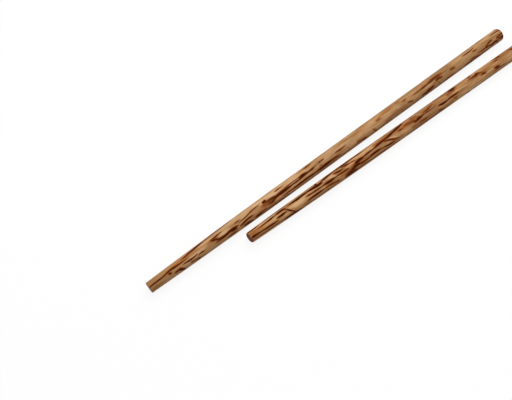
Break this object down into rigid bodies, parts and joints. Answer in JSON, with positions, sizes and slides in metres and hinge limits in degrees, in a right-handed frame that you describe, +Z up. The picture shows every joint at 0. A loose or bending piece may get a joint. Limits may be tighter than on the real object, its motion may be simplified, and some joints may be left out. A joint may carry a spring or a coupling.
{
  "type": "pair of wooden chopsticks",
  "caption": "Pair of blunt-tipped round wooden chopsticks, tapered towards the tips, for picking up food.",
  "frame": {"origin": "on the table, under the middle of the outline of the pair as it lies", "axes": "+X from the tips towards the handle ends, +Y towards the left stick, +Z up from the table"},
  "size_m": [0.2912, 0.0222, 0.0075],
  "materials": {
    "pale_palm_wood": "satin",
    "red_palm_wood": "satin"
  },
  "bodies": {
    "root": {"left_chopstick": "pale_palm_wood", "right_chopstick": "red_palm_wood"}
  },
  "joints": []
}
